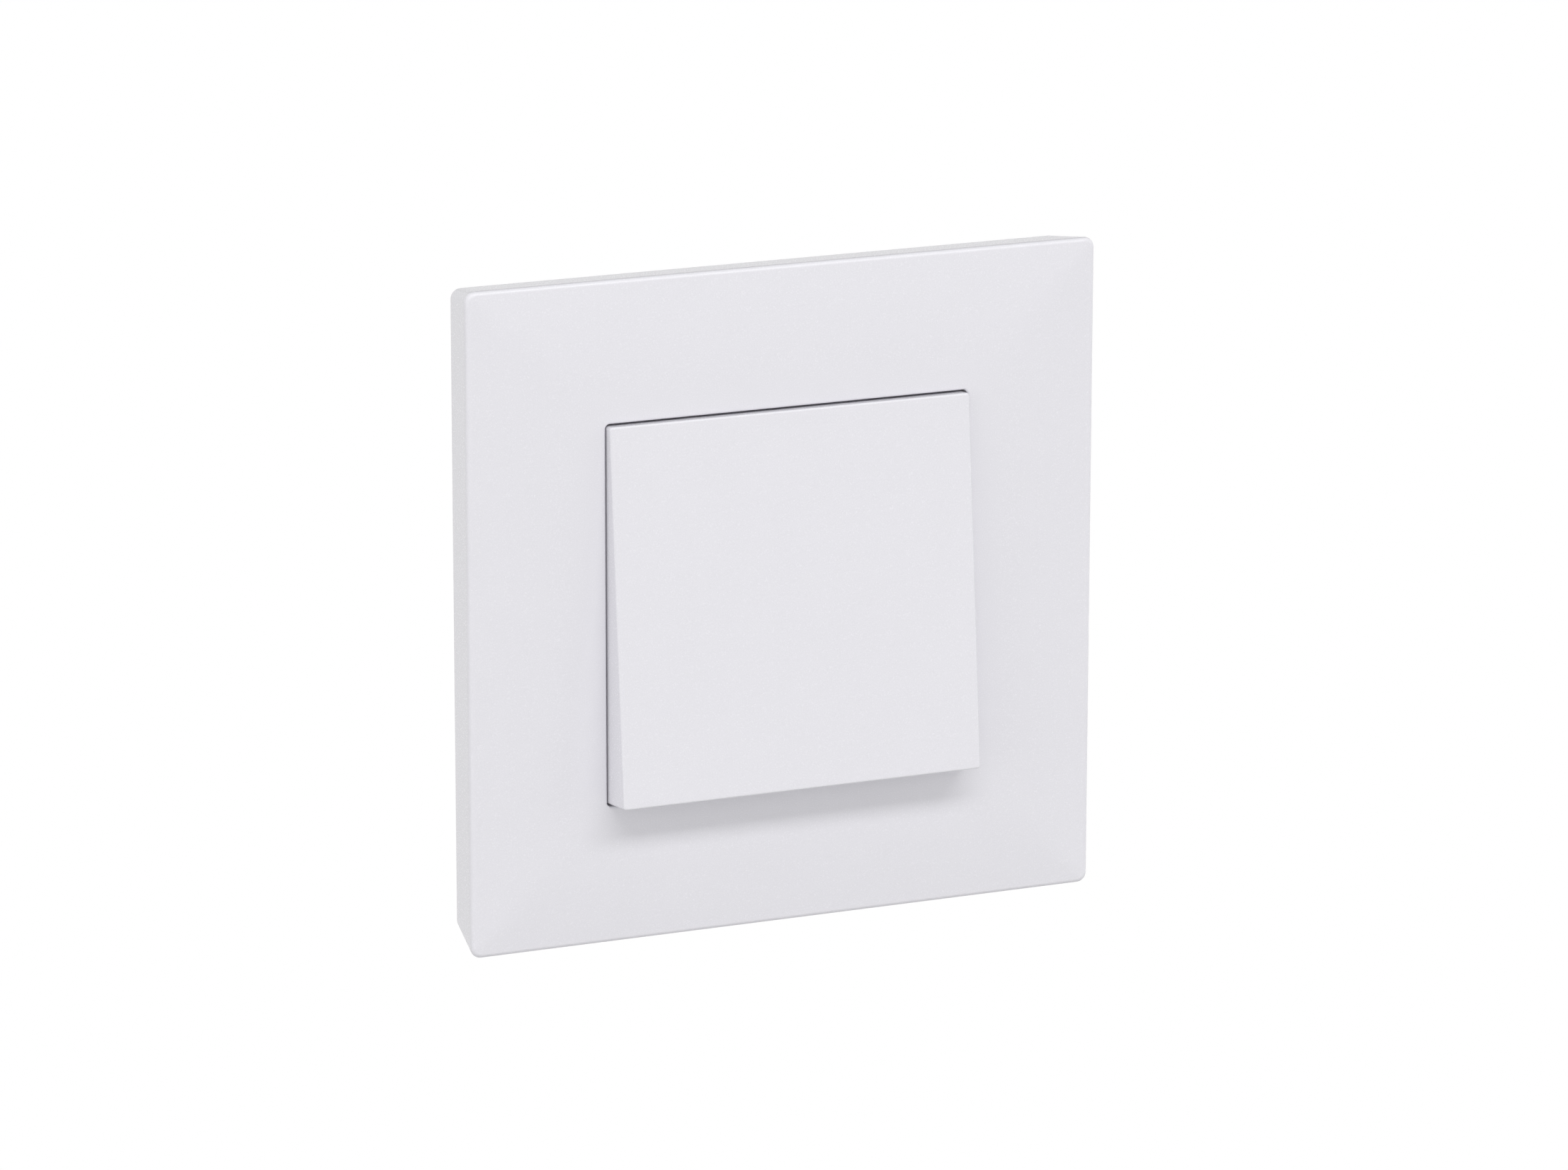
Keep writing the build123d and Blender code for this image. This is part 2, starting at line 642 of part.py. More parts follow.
def contact_lever():
    """Seesaw strip about its own axis, with a coined groove that sits on the common bar's ridge."""
    half = contact_arm + lever_overhang
    back = -lever_seat
    profile = rectangle(back - lever_t, back, -half, half)
    strip = along_x(profile, -lever_half_x, lever_half_x)
    strip = fillet(strip.edges().filter_by(Axis.Y), lever_end_round)
    groove = Rot(0, 90, 0) * Cylinder(ridge_r + ridge_clearance, 4 * lever_half_x)
    return strip - groove


def moving_contacts():
    """Domed silver tips on the back of the lever, about the lever's axis."""
    back = -lever_seat
    disc = slab(Pos(0, contact_arm) * Circle(tip_r), back + tip_height, back)
    disc &= Pos(0, back + tip_height - tip_dome_r, contact_arm) * Sphere(tip_dome_r)
    return [disc, mirror(disc, about=Plane.XY)]


def terminal_clamp():
    """Cage clamp of the upper right terminal: a band round the tail, tapped for the screw."""
    outline = rectangle(terminal_x - clamp_half_x, terminal_x + clamp_half_x, clamp_bottom_z, clamp_top_z)
    inner_half = clamp_half_x - clamp_wall
    outline -= rectangle(terminal_x - inner_half, terminal_x + inner_half,
                         clamp_bottom_z + clamp_wall, clamp_top_z - clamp_top)
    band = slab(outline, clamp_y + clamp_length / 2, clamp_y - clamp_length / 2)
    corners = [e for e in band.edges().filter_by(Axis.Y)
               if abs(abs(e.center().X - terminal_x) - clamp_half_x) < pick_tolerance]
    band = fillet(corners, clamp_wall / 2)
    tapped = Cylinder(clamp_screw_r + screw_clearance, 3 * clamp_top)
    return band - Pos(terminal_x, clamp_y, clamp_top_z) * tapped


def terminal_screw():
    """Clamp screw of the upper right terminal, with its tip on the tail."""
    length = clamp_top_z + clamp_screw_gap - tail_top_z
    one = screw(clamp_screw_head_r, clamp_screw_head, clamp_screw_r, length,
                clamp_screw_point_r, clamp_screw_gap)
    return Pos(terminal_x, clamp_y, clamp_top_z + clamp_screw_gap) * one


def claw_right():
    """Spreading claw: an eye on the pin, a heel for the screw and a shank with a toothed hook."""
    half_t = claw_t / 2
    end = claw_pin_depth + claw_length
    eye = Pos(claw_pin_x, claw_pin_depth) * Circle(claw_eye_r)
    heel = rectangle(claw_pin_x - claw_heel_end, claw_pin_x,
                     claw_pin_depth - half_t, claw_pin_depth + half_t)
    shank = rectangle(claw_pin_x - half_t, claw_pin_x + half_t, claw_pin_depth, end)
    hook = make_face(Polyline(
        (claw_pin_x - half_t, end), (claw_pin_x + half_t, end - half_t),
        (claw_pin_x + claw_hook, end + claw_hook_back),
        (claw_pin_x + claw_hook - half_t, end + claw_hook), close=True))
    strip = along_z(eye + heel + shank + hook, claw_half_z)
    strip -= Pos(claw_pin_x, claw_pin_depth, 0) * Cylinder(claw_pin_r + screw_clearance, 4 * claw_half_z)
    notch = Pos(claw_pin_x + claw_hook, end + claw_hook, 0) * Rot(0, 0, 45) * Box(
        claw_t, 4 * claw_hook, claw_half_z)
    return strip - notch


def claw_pins():
    """The two pins that the claws swing on."""
    length = 2 * (claw_half_z + claw_lug_gap + plate_t)
    pin = Pos(claw_pin_x, claw_pin_depth, 0) * Cylinder(claw_pin_r, length)
    return Compound(children=[pin, mirror(pin, about=Plane.YZ)])


def claw_screw_right():
    """Screw that pushes the right claw's heel, with room under its head for its travel."""
    seat = -plate_t - claw_screw_travel - fit_clearance
    length = claw_heel_front - claw_screw_gap - seat
    one = screw(claw_screw_head_r, claw_screw_head, claw_screw_r, length,
                claw_screw_point_r, claw_screw_point)
    return facing_front(one, claw_screw_x, seat, 0)


def main():
    """Builds every piece and writes one file for each."""
    clamps = quarters(terminal_clamp())
    pieces = {
        "cover_frame": cover_frame(),
        "support_plate": support_plate(),
        "housing_base": housing_base(),
        "housing_cover": housing_cover(),
        "cover_screws": cover_screws(),
        "common_bar": common_bar(),
        "upper_contact_bar": outgoing_bar(),
        "lower_contact_bar": mirror(outgoing_bar(), about=Plane.XY),
        "fixed_contacts": fixed_contacts(),
        "terminal_screws": Compound(children=quarters(terminal_screw())),
        "claw_pins": claw_pins(),
        "rocker_cap": rocker_rest * rocker_cap(),
        "rocker_carrier": rocker_rest * rocker_carrier(),
        "toggle_spring": rocker_rest * toggle_spring(),
        "plunger": rocker_rest * plunger(),
        "contact_lever": lever_rest * contact_lever(),
        "moving_contacts": Compound(children=[lever_rest * tip for tip in moving_contacts()]),
        "claw_right": claw_right(),
        "claw_left": mirror(claw_right(), about=Plane.YZ),
        "claw_screw_right": claw_screw_right(),
        "claw_screw_left": mirror(claw_screw_right(), about=Plane.YZ),
    }
    for number, clamp in enumerate(clamps, start=1):
        pieces[f"terminal_clamp_{number}"] = clamp
    os.makedirs("parts", exist_ok=True)
    for name, piece in pieces.items():
        export_step(piece, f"parts/{name}.step")


main()
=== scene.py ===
import json
from math import cos, pi, radians, sin

import bpy
from mathutils import Matrix, Vector


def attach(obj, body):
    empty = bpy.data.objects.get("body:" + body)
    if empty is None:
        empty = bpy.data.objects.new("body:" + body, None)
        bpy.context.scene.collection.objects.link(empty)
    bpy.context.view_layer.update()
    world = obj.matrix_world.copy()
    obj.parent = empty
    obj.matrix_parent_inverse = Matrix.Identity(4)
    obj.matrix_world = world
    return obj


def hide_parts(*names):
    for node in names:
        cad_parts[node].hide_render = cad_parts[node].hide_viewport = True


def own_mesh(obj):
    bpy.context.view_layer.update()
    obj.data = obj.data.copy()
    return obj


# Flush rocker light switch, dressed around its solids. The solids are in metres: the wall plane is
# Y = 0, the front faces -Y and Z is up.

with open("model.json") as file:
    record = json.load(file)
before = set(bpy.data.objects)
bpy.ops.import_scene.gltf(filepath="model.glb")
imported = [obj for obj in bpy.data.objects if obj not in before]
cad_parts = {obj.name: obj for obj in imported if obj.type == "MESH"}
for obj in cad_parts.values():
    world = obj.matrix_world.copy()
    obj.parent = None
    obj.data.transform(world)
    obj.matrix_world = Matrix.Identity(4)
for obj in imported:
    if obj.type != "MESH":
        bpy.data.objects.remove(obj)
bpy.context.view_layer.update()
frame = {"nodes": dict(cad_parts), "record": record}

MM = 0.001

# Camera, as the photograph was taken
camera_azimuth = radians(-23.390)
camera_elevation = radians(14.669)
camera_roll = radians(0.0834)
camera_distance = 0.905036
camera_side = -3.1661 * MM      # where the switch's origin lies across the picture
camera_rise = 0.5832 * MM       # and above its middle
focal_pixels = 10221.19
picture_width = 2214
sensor_width = 36.0             # in millimetres, as Blender takes it

# Lamps: degrees round from the front and up, metres, and shares of full light on a face turned to them
key_lamp = dict(azimuth=0, elevation=48.5, width=2.2, height=0.38, share=0.50)
fill_lamps = {
    "front_fill": dict(azimuth=-15, elevation=5, width=3.0, height=2.0, share=0.22),
    "left_fill": dict(azimuth=-80, elevation=5, width=2.4, height=2.4, share=0.49),
    "right_fill": dict(azimuth=80, elevation=5, width=2.4, height=2.4, share=0.46),
    "back_fill": dict(azimuth=145, elevation=-5, width=1.5, height=1.5, share=0.40),
}
lamp_distance = 2.0
ambient_share = 0.38            # from all round

# Studio, in metres and degrees
white = "#FFFFFF"
matt = 0.9                      # roughness of the floor and the card
floor_colour = "#D0D0D0"
floor_size = 12.0
floor_drop = 0.30               # the switch hangs on a wall, this high over the floor
floor_white = 0.5               # share of white in the floor's look under the switch
shadow_reach = 0.45             # the share rises from half this far out, and is full this far out
card_colour = "#404040"
card_size = 0.8
card_distance = 0.95
card_azimuth = 157
card_elevation = 35

# Finishes: sizes of what the eye sees in them, in millimetres, and how much it changes them
spark_grain = 0.17
mould_cloud = 9.0
rolled_streak = 0.25
plating_cloud = 3.0
plastic_ior = 1.53
grain_share = 0.88              # the grain's part in a plastic's light and dark, the clouds have the rest
grain_sheen = 0.05              # the grain turns a plastic's roughness this much up and down
streak_smooth = 0.08            # the streaks turn a metal's roughness this much down
streak_rough = 0.12             # and this much up
streak_squeeze = 0.12           # a streak's width, of its length

# Screws and spring, in millimetres: sizes and places are those of the solids
screw_faces = 40                # round a screw
ridge_faces = 6                 # round a thread's ridge
wire_faces = 10                 # round the spring's wire
turn_steps = 28                 # along one turn of a thread or of the spring
sharp_angle = radians(40)       # edges that bend more than this stay sharp
head_top_share = 0.8            # flat top of a head, of its radius
head_side_share = 0.6           # upright side of a head, of its height
slot_width = 0.8
slot_share = 0.55               # a slot's depth, of the head's height
core_share = 0.55               # a thread's depth, of its pitch
ridge_share = 0.42              # a thread's round ridge, of its pitch
claw_screw = dict(head_radius=2.3, head_height=1.8, shank_radius=1.5, length=5.05,
                  point_radius=0.8, point_height=1.6, pitch=0.5)
clamp_screw = dict(head_radius=2.9, head_height=1.9, shank_radius=1.75, length=3.7,
                   point_radius=1.2, point_height=0.5, pitch=0.6)
cover_screw = dict(head_radius=1.9, head_height=1.3, shank_radius=1.0, length=8.0,
                   point_radius=0.5, point_height=1.0, pitch=0.8)
claw_screw_x, claw_screw_y = 17.4, -2.55
clamp_screw_x, clamp_screw_y, clamp_screw_z = 10.15, 14.47, 17.2
cover_screw_x, cover_screw_y, cover_screw_z = 15.65, -3.6, 16.35
coil_radius = 1.21
wire_radius = 0.18
coil_turns = 6
coil_height = 7.94
coil_start = 1.33               # rocker's axis to the first turn's middle
rocker_axis_y = -8.2
rocker_tilt = radians(-5)


def linear(hex_colour):
    """An sRGB hex colour as linear red, green, blue and alpha."""
    channels = [int(hex_colour[n:n + 2], 16) / 255 for n in (1, 3, 5)]
    return [c / 12.92 if c <= 0.04045 else ((c + 0.055) / 1.055) ** 2.4 for c in channels] + [1]


def node(tree, kind, inputs=None, **settings):
    """Adds a node. Each input is a value, or the socket that feeds it."""
    made = tree.nodes.new(kind)
    for name, value in settings.items():
        setattr(made, name, value)
    for name, value in (inputs or {}).items():
        if isinstance(value, bpy.types.NodeSocket):
            tree.links.new(value, made.inputs[name])
        else:
            made.inputs[name].default_value = value
    return made


def plain(name, **shader):
    """A material that is the same all over. A socket's name is given with _ for a space."""
    made = bpy.data.materials.new(name)
    made.use_nodes = True
    surface = made.node_tree.nodes["Principled BSDF"]
    for socket, value in shader.items():
        surface.inputs[socket.replace("_", " ")].default_value = value
    return made


def patterned(name, **shader):
    """A material to draw a pattern in, with its tree, its shader and the place on the piece."""
    made = plain(name, **shader)
    tree = made.node_tree
    place = node(tree, "ShaderNodeTexCoord").outputs["Object"]
    return made, tree, tree.nodes["Principled BSDF"], place


def link_finish(tree, surface, tint, sheen, relief):
    """Gives the shader its colour, its roughness and its relief."""
    tree.links.new(tint.outputs["Result"], surface.inputs["Base Color"])
    tree.links.new(sheen.outputs["Result"], surface.inputs["Roughness"])
    tree.links.new(relief.outputs["Normal"], surface.inputs["Normal"])


def scale_of(size):
    """The noise scale that gives features of a size in millimetres."""
    return 1 / (size * MM)


def moulded(name, light, dark, roughness, grain_depth):
    """Injection moulded plastic: even colour, faint clouds of flow, and the fine even grain of a
    spark eroded mould, which makes it satin. The grain is drawn coarser than the real 0.05 mm,
    so that it shows."""
    made, tree, surface, place = patterned(name, IOR=plastic_ior)
    cloud = node(tree, "ShaderNodeTexNoise", {
        "Vector": place, "Scale": scale_of(mould_cloud), "Detail": 3, "Roughness": 0.55})
    grain = node(tree, "ShaderNodeTexNoise", {
        "Vector": place, "Scale": scale_of(spark_grain), "Detail": 2, "Roughness": 0.6})
    shade = node(tree, "ShaderNodeMix", {
        "Factor": grain_share, "A": cloud.outputs["Fac"], "B": grain.outputs["Fac"]})
    tint = node(tree, "ShaderNodeMix", {
        "Factor": shade.outputs["Result"], "A": linear(dark), "B": linear(light)},
        data_type="RGBA")
    sheen = node(tree, "ShaderNodeMapRange", {
        "Value": grain.outputs["Fac"],
        "To Min": roughness - grain_sheen, "To Max": roughness + grain_sheen})
    relief = node(tree, "ShaderNodeBump", {
        "Height": grain.outputs["Fac"], "Strength": 1.0, "Distance": grain_depth * MM})
    link_finish(tree, surface, tint, sheen, relief)
    return made


def rolled(name, light, dark, roughness, streak_depth):
    """Metal from rolled sheet or drawn wire: clouds of colour, and fine streaks along the rolling
    direction, which spread the highlight. The streaks are drawn coarser than the real ones, which
    are under 0.1 mm wide, so that they show."""
    made, tree, surface, place = patterned(name, Metallic=1.0)
    cloud = node(tree, "ShaderNodeTexNoise", {
        "Vector": place, "Scale": scale_of(plating_cloud), "Detail": 4, "Roughness": 0.6})
    tint = node(tree, "ShaderNodeMix", {
        "Factor": cloud.outputs["Fac"], "A": linear(dark), "B": linear(light)}, data_type="RGBA")
    along = node(tree, "ShaderNodeMapping", {"Vector": place, "Scale": (streak_squeeze, 1, 1)})
    streak = node(tree, "ShaderNodeTexNoise", {
        "Vector": along.outputs["Vector"], "Scale": scale_of(rolled_streak), "Detail": 3})
    sheen = node(tree, "ShaderNodeMapRange", {
        "Value": streak.outputs["Fac"],
        "To Min": roughness - streak_smooth, "To Max": roughness + streak_rough})
    relief = node(tree, "ShaderNodeBump", {
        "Height": streak.outputs["Fac"], "Strength": 0.6, "Distance": streak_depth * MM})
    link_finish(tree, surface, tint, sheen, relief)
    return made


# Finishes by the record's slots: the depths of grain and streaks are in millimetres
finishes = {
    # A cool white that looks smooth, with a satin shine at the edges
    "white_plastic": moulded("moulded_white_asa", light="#EDECF1", dark="#DFDEE3",
                             roughness=0.26, grain_depth=0.0004),
    # Light grey and matt, dulled by its filler
    "grey_plastic": moulded("moulded_grey_urea", light="#CFCFCC", dark="#C7C7C3",
                            roughness=0.5, grain_depth=0.006),
    # Undyed and creamy, with a waxy shine
    "carrier_plastic": moulded("moulded_natural_acetal", light="#DEDBD2", dark="#D6D2C6",
                               roughness=0.38, grain_depth=0.003),
    # A pale bluish metal, with a broad and cloudy shine
    "zinc_steel": rolled("zinc_plated_steel", light="#D3D4D6", dark="#BFC3C6",
                         roughness=0.32, streak_depth=0.004),
    # A warm yellow metal, darker in places
    "brass": rolled("stamped_brass", light="#DDC189", dark="#C9A35F",
                    roughness=0.3, streak_depth=0.004),
    # A nearly white metal, the brightest of all
    "silver": rolled("silver_alloy", light="#EDEDEB", dark="#DAD8D2",
                     roughness=0.26, streak_depth=0.002),
    # A darker grey metal, with a clear highlight along the wire
    "spring_steel": rolled("drawn_spring_wire", light="#C4C4C5", dark="#A9A9AB",
                           roughness=0.3, streak_depth=0.002),
}
slots = {piece["node"]: piece["material_slot"] for piece in frame["record"]["subparts"]}


def dress_solids():
    """Gives each solid the finish of its slot."""
    for name, slot in slots.items():
        solid = frame["nodes"][name]
        solid.data.materials.clear()
        solid.data.materials.append(finishes[slot])


def geometry_tree(name, sizes):
    """A geometry tree, with a named input for each size and for the finish."""
    tree = bpy.data.node_groups.new(name, "GeometryNodeTree")
    tree.interface.new_socket("Geometry", in_out="INPUT", socket_type="NodeSocketGeometry")
    for size in sizes:
        tree.interface.new_socket(size, in_out="INPUT", socket_type="NodeSocketFloat")
    tree.interface.new_socket("Finish", in_out="INPUT", socket_type="NodeSocketMaterial")
    tree.interface.new_socket("Geometry", in_out="OUTPUT", socket_type="NodeSocketGeometry")
    return tree, node(tree, "NodeGroupInput").outputs


def put_on_points(tree, given, shape):
    """Ends a tree: the shape on each point, facing as the point says, as one mesh."""
    angles = node(tree, "GeometryNodeInputNamedAttribute", {"Name": "facing"},
                  data_type="FLOAT_VECTOR")
    facing = node(tree, "FunctionNodeEulerToRotation", {"Euler": angles.outputs["Attribute"]})
    placed = node(tree, "GeometryNodeInstanceOnPoints", {
        "Points": given["Geometry"], "Instance": shape, "Rotation": facing.outputs["Rotation"]})
    whole = node(tree, "GeometryNodeRealizeInstances", {"Geometry": placed.outputs["Instances"]})
    dressed = node(tree, "GeometryNodeSetMaterial", {
        "Geometry": whole.outputs["Geometry"], "Material": given["Finish"]})
    node(tree, "NodeGroupOutput", {"Geometry": dressed.outputs["Geometry"]})


def frustum(tree, foot_radius, top_radius, height, foot):
    """A cone's lower part along Z, with its foot at a height."""
    cone = node(tree, "GeometryNodeMeshCone", {
        "Vertices": screw_faces, "Radius Bottom": foot_radius, "Radius Top": top_radius,
        "Depth": height})
    lift = node(tree, "ShaderNodeCombineXYZ", {"Z": foot})
    return node(tree, "GeometryNodeTransform", {
        "Geometry": cone.outputs["Mesh"], "Translation": lift.outputs["Vector"]}).outputs["Geometry"]


def coil(tree, radius, turns, height, wire, faces):
    """Wire wound along Z, closed at both ends."""
    path = node(tree, "GeometryNodeCurveSpiral", {
        "Resolution": turn_steps, "Rotations": turns, "Start Radius": radius,
        "End Radius": radius, "Height": height})
    section = node(tree, "GeometryNodeCurvePrimitiveCircle", {"Resolution": faces, "Radius": wire})
    return node(tree, "GeometryNodeCurveToMesh", {
        "Curve": path.outputs["Curve"], "Profile Curve": section.outputs["Curve"],
        "Fill Caps": True}).outputs["Mesh"]


def screw_tree():
    """Slotted pan head screws with rolled threads. The underside of a head is at Z = 0."""
    tree, given = geometry_tree("slotted_screw", (
        "Head radius", "Head height", "Head side foot", "Head side height", "Head cone foot",
        "Head cone top", "Slot length", "Slot width", "Slot cut", "Core radius", "Core foot",
        "Core height", "Taper foot", "Taper height", "Point radius", "Point foot", "Point height",
        "Thread radius", "Turns", "Thread foot", "Thread height", "Ridge radius"))
    side = frustum(tree, given["Head radius"], given["Head radius"], given["Head side height"],
                   given["Head side foot"])
    slope = frustum(tree, given["Head cone foot"], given["Head cone top"], given["Head height"],
                    foot=0)
    head = node(tree, "GeometryNodeMeshBoolean", {"Mesh 2": side}, operation="INTERSECT")
    tree.links.new(slope, head.inputs["Mesh 2"])
    size = node(tree, "ShaderNodeCombineXYZ", {
        "X": given["Slot length"], "Y": given["Slot width"], "Z": given["Slot cut"]})
    cutter = node(tree, "GeometryNodeMeshCube", {"Size": size.outputs["Vector"]})
    lift = node(tree, "ShaderNodeCombineXYZ", {"Z": given["Head height"]})
    slot = node(tree, "GeometryNodeTransform", {
        "Geometry": cutter.outputs["Mesh"], "Translation": lift.outputs["Vector"]})
    slotted = node(tree, "GeometryNodeMeshBoolean", {
        "Mesh 1": head.outputs["Mesh"], "Mesh 2": slot.outputs["Geometry"]}, operation="DIFFERENCE")
    core = frustum(tree, given["Core radius"], given["Core radius"], given["Core height"],
                   given["Core foot"])
    taper = frustum(tree, given["Point radius"], given["Core radius"], given["Taper height"],
                    given["Taper foot"])
    point = frustum(tree, given["Point radius"], given["Point radius"], given["Point height"],
                    given["Point foot"])
    ridge = coil(tree, given["Thread radius"], given["Turns"], given["Thread height"],
                 given["Ridge radius"], ridge_faces)
    drop = node(tree, "ShaderNodeCombineXYZ", {"Z": given["Thread foot"]})
    thread = node(tree, "GeometryNodeTransform", {
        "Geometry": ridge, "Translation": drop.outputs["Vector"]})
    whole = node(tree, "GeometryNodeJoinGeometry", {"Geometry": slotted.outputs["Mesh"]})
    for part in (core, taper, point, thread.outputs["Geometry"]):
        tree.links.new(part, whole.inputs["Geometry"])
    put_on_points(tree, given, whole.outputs["Geometry"])
    return tree


def screw_sizes(head_radius, head_height, shank_radius, length, point_radius, point_height, pitch):
    """What the screw tree is given. The head's side and the slot's cutter reach past the head, and
    the cutter's middle is at the head's top."""
    core_radius = shank_radius - core_share * pitch
    ridge = ridge_share * pitch
    shoulder = point_height - length
    core_foot = shoulder + core_radius - point_radius
    thread_foot = shoulder + shank_radius - point_radius + ridge
    thread_height = -ridge - thread_foot
    cone_top = head_radius * head_top_share
    cone_spread = head_radius * (1 - head_top_share) / (1 - head_side_share)
    return {
        "Head radius": head_radius, "Head height": head_height,
        "Head side foot": -head_height, "Head side height": 3 * head_height,
        "Head cone foot": cone_top + cone_spread, "Head cone top": cone_top,
        "Slot length": 3 * head_radius, "Slot width": slot_width,
        "Slot cut": 2 * head_height * slot_share,
        "Core radius": core_radius, "Core foot": core_foot, "Core height": -core_foot,
        "Taper foot": shoulder, "Taper height": core_radius - point_radius,
        "Point radius": point_radius, "Point foot": -length, "Point height": point_height,
        "Thread radius": shank_radius - ridge, "Turns": thread_height / pitch,
        "Thread foot": thread_foot, "Thread height": thread_height, "Ridge radius": ridge}


def spring_tree():
    """A coil spring of round wire."""
    tree, given = geometry_tree("coil_spring", ("Coil radius", "Turns", "Height", "Wire radius"))
    put_on_points(tree, given, coil(tree, given["Coil radius"], given["Turns"], given["Height"],
                                    given["Wire radius"], wire_faces))
    return tree


def grow(name, tree, sizes, points, facings, body):
    """A plain mesh in place of a solid, grown by a tree on points. The sizes are in millimetres,
    apart from the number of turns."""
    seed = bpy.data.meshes.new(name)
    seed.from_pydata([[v * MM for v in point] for point in points], [], [])
    angles = seed.attributes.new("facing", "FLOAT_VECTOR", "POINT")
    angles.data.foreach_set("vector", [angle for facing in facings for angle in facing])
    piece = bpy.data.objects.new(f"{name}_grown", seed)
    bpy.context.collection.objects.link(piece)
    growth = piece.modifiers.new("growth", "NODES")
    growth.node_group = tree
    for socket in tree.interface.items_tree:
        if socket.name == "Finish":
            growth[socket.identifier] = finishes[slots[name]]
        elif socket.name in sizes:
            unit = 1.0 if socket.name == "Turns" else MM
            growth[socket.identifier] = sizes[socket.name] * unit
    depsgraph = bpy.context.evaluated_depsgraph_get()
    mesh = bpy.data.meshes.new_from_object(piece.evaluated_get(depsgraph))
    piece.modifiers.clear()
    piece.data = mesh
    mesh.shade_smooth()
    mesh.set_sharp_from_angle(angle=sharp_angle)
    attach(piece, body)
    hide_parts(name)
    return piece


def set_screws():
    """The screws, with their heads to the room or to the housing's upper and lower ends."""
    tree = screw_tree()
    to_room = (radians(90), 0, 0)
    upwards = (0, 0, 0)
    downwards = (pi, 0, 0)
    for name, side in (("claw_screw_left", -1), ("claw_screw_right", 1)):
        grow(name, tree, screw_sizes(**claw_screw), [(side * claw_screw_x, claw_screw_y, 0)],
             [to_room], name)
    corners = [(x, z) for x in (-1, 1) for z in (-1, 1)]
    grow("cover_screws", tree, screw_sizes(**cover_screw),
         [(x * cover_screw_x, cover_screw_y, z * cover_screw_z) for x, z in corners],
         [to_room] * len(corners), "mechanism")
    grow("terminal_screws", tree, screw_sizes(**clamp_screw),
         [(x * clamp_screw_x, clamp_screw_y, z * clamp_screw_z) for x, z in corners],
         [upwards if z > 0 else downwards for x, z in corners], "mechanism")


def set_spring():
    """The toggle spring in the rocker's barrel, grown at one fixed length; the real one shortens as the
    plunger goes in.
    """
    along = Vector((0, cos(rocker_tilt), sin(rocker_tilt)))
    axis = Vector((0, rocker_axis_y, 0))
    sizes = {"Coil radius": coil_radius, "Turns": coil_turns, "Height": coil_height,
             "Wire radius": wire_radius}
    spring = grow("toggle_spring", spring_tree(), sizes, [axis + along * coil_start],
                  [(rocker_tilt - radians(90), 0, 0)], "rocker")
    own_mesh(spring)


def set_camera():
    """The camera of the photograph."""
    back = Vector((sin(camera_azimuth) * cos(camera_elevation),
                   -cos(camera_azimuth) * cos(camera_elevation), sin(camera_elevation)))
    level = Vector((cos(camera_azimuth), sin(camera_azimuth), 0))
    plumb = back.cross(level)
    right = level * cos(camera_roll) + plumb * sin(camera_roll)
    up = plumb * cos(camera_roll) - level * sin(camera_roll)
    place = back * camera_distance - right * camera_side - up * camera_rise
    lens = bpy.data.cameras.new("camera")
    lens.sensor_width = sensor_width
    lens.lens = focal_pixels / picture_width * sensor_width
    camera = bpy.data.objects.new("camera", lens)
    camera.matrix_world = Matrix((right, up, back)).transposed().to_4x4()
    camera.location = place
    bpy.context.collection.objects.link(camera)
    bpy.context.scene.camera = camera


def seen_directly(tree):
    """1 for rays from the camera, mirrors and glass, and 0 for rays that light the switch."""
    path = node(tree, "ShaderNodeLightPath")
    first = node(tree, "ShaderNodeMath", {
        0: path.outputs["Is Camera Ray"], 1: path.outputs["Is Glossy Ray"]}, operation="MAXIMUM")
    both = node(tree, "ShaderNodeMath", {
        0: first.outputs[0], 1: path.outputs["Is Transmission Ray"]}, operation="MAXIMUM")
    return both.outputs[0]


def set_world():
    """White to look at, and an even soft light on the switch."""
    world = bpy.data.worlds.new("studio")
    world.use_nodes = True
    tree = world.node_tree
    background = tree.nodes["Background"]
    strength = node(tree, "ShaderNodeMapRange", {
        "Value": seen_directly(tree), "To Min": ambient_share, "To Max": 1.0})
    tree.links.new(strength.outputs["Result"], background.inputs["Strength"])
    background.inputs["Color"].default_value = linear(white)
    bpy.context.scene.world = world


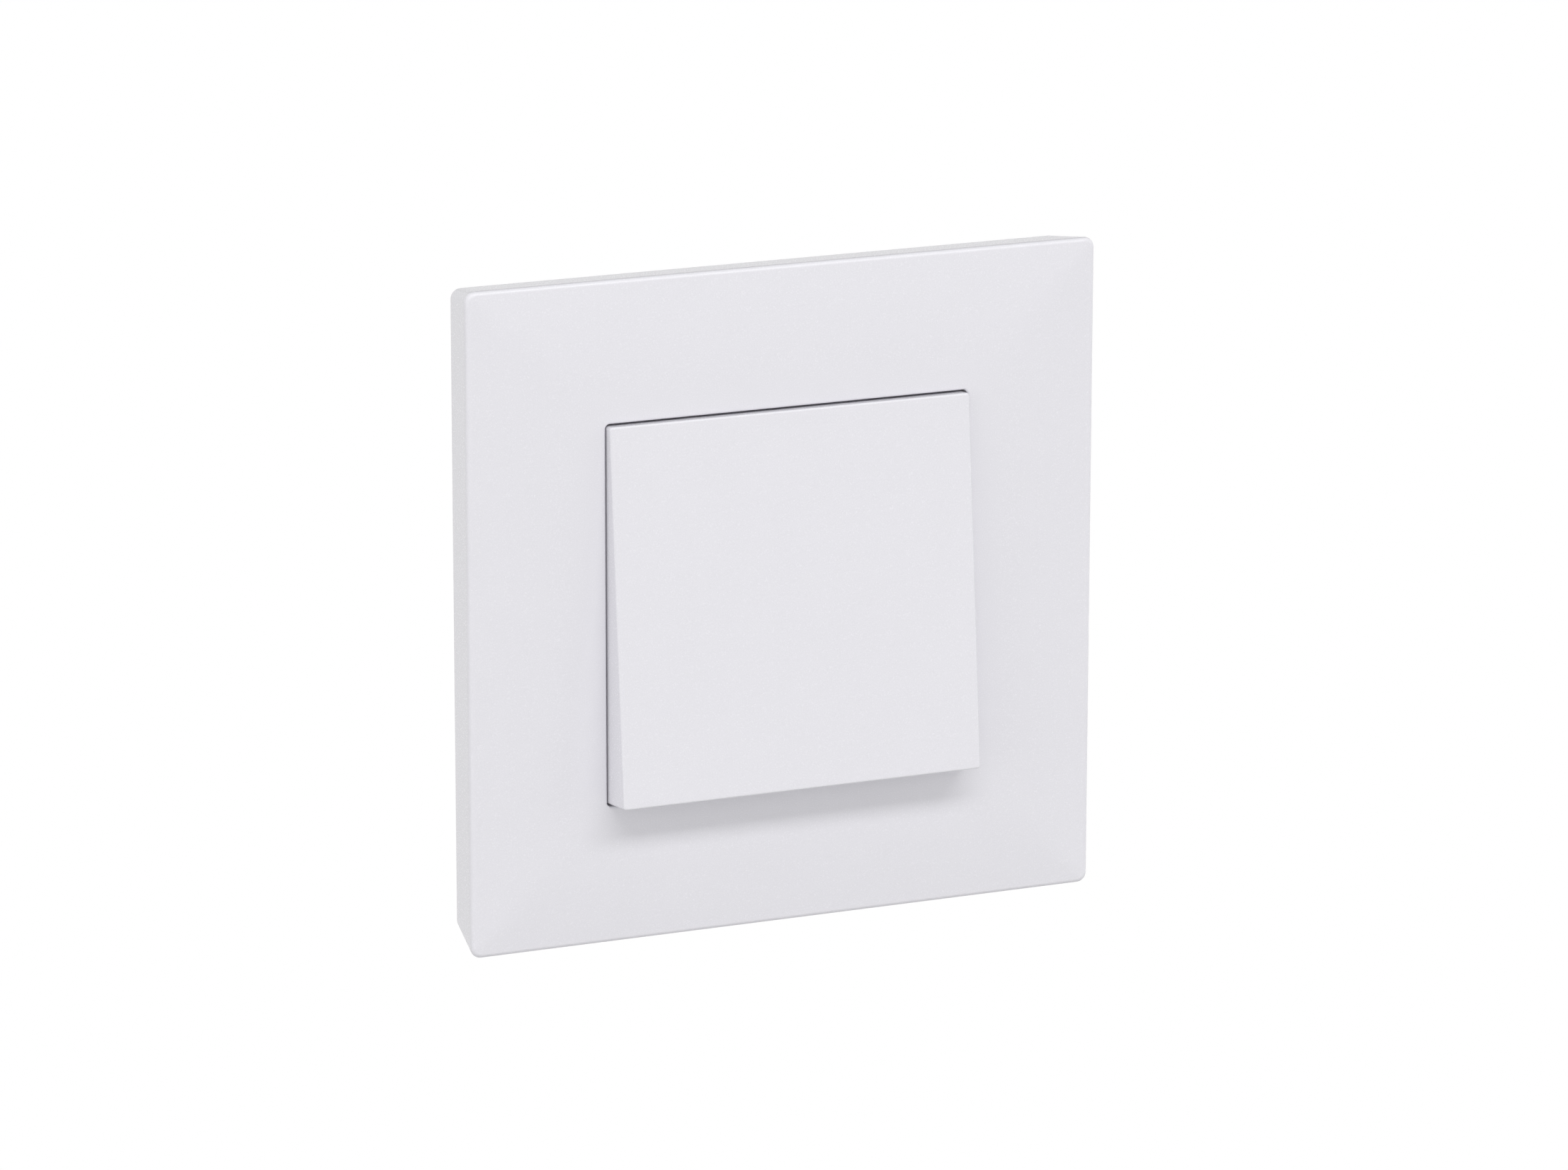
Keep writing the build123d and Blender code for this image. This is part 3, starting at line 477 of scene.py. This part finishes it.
def set_floor():
    """A pale floor that keeps the shadow under the switch and turns white further out. Seen from
    below it is clear, so that it doesn't hide the switch."""
    made, tree, surface, place = patterned("painted_floor", Base_Color=linear(floor_colour),
                                           Roughness=matt)
    radius = node(tree, "ShaderNodeVectorMath", {0: place}, operation="LENGTH")
    far = node(tree, "ShaderNodeMapRange", {
        "Value": radius.outputs["Value"], "From Min": shadow_reach / 2, "From Max": shadow_reach,
        "To Min": floor_white, "To Max": 1.0})
    lightened = node(tree, "ShaderNodeMath", {
        0: far.outputs["Result"], 1: seen_directly(tree)}, operation="MULTIPLY")
    glow = node(tree, "ShaderNodeEmission", {"Color": linear(white), "Strength": 1.0})
    upper = node(tree, "ShaderNodeMixShader", {
        0: lightened.outputs[0], 1: surface.outputs["BSDF"], 2: glow.outputs["Emission"]})
    path = node(tree, "ShaderNodeLightPath")
    side = node(tree, "ShaderNodeNewGeometry")
    below = node(tree, "ShaderNodeMath", {
        0: path.outputs["Is Camera Ray"], 1: side.outputs["Backfacing"]}, operation="MULTIPLY")
    clear = node(tree, "ShaderNodeBsdfTransparent")
    shown = node(tree, "ShaderNodeMixShader", {
        0: below.outputs[0], 1: upper.outputs[0], 2: clear.outputs["BSDF"]})
    tree.links.new(shown.outputs[0], tree.nodes["Material Output"].inputs["Surface"])
    half = floor_size / 2
    mesh = bpy.data.meshes.new("floor")
    mesh.from_pydata([(-half, -half, 0), (half, -half, 0), (half, half, 0), (-half, half, 0)],
                     [], [(0, 1, 2, 3)])
    mesh.materials.append(made)
    floor = bpy.data.objects.new("floor", mesh)
    floor.location.z = -floor_drop
    bpy.context.collection.objects.link(floor)


def direction(azimuth, elevation):
    """Where a lamp or a card stands, seen from the switch: degrees from the front, and up."""
    turn, rise = radians(azimuth), radians(elevation)
    return Vector((sin(turn) * cos(rise), -cos(turn) * cos(rise), sin(rise)))


def set_card():
    """A dark card behind the switch and above it, which the camera doesn't see. The frame's top
    mirrors it, and so stands out from the white."""
    back = direction(card_azimuth, card_elevation)
    half = card_size / 2
    turn = back.to_track_quat("Z", "Y")
    corners = [turn @ Vector((x * half, y * half, 0)) + back * card_distance
               for x, y in ((-1, -1), (1, -1), (1, 1), (-1, 1))]
    mesh = bpy.data.meshes.new("upper_card")
    mesh.from_pydata(corners, [], [(0, 1, 2, 3)])
    mesh.materials.append(plain("dark_card", Base_Color=linear(card_colour), Roughness=matt))
    card = bpy.data.objects.new("upper_card", mesh)
    card.visible_camera = False
    bpy.context.collection.objects.link(card)


def softbox(name, azimuth, elevation, width, height, share, mirrored):
    """A lamp that lights a face turned to it with a share of full light, which makes a white face
    as bright as the background."""
    back = direction(azimuth, elevation)
    full_power = (pi * lamp_distance) ** 2
    lamp = bpy.data.lights.new(name, "AREA")
    lamp.shape = "RECTANGLE"
    lamp.size = width
    lamp.size_y = height
    lamp.energy = full_power * share
    holder = bpy.data.objects.new(name, lamp)
    holder.location = back * lamp_distance
    holder.visible_glossy = mirrored
    holder.rotation_euler = back.to_track_quat("Z", "Y").to_euler()
    bpy.context.collection.objects.link(holder)


dress_solids()
set_screws()
set_spring()
set_camera()
set_world()
set_floor()
set_card()
softbox("key", **key_lamp, mirrored=True)
for name, fill_lamp in fill_lamps.items():
    softbox(name, **fill_lamp, mirrored=False)
bpy.context.scene.view_settings.view_transform = "Standard"
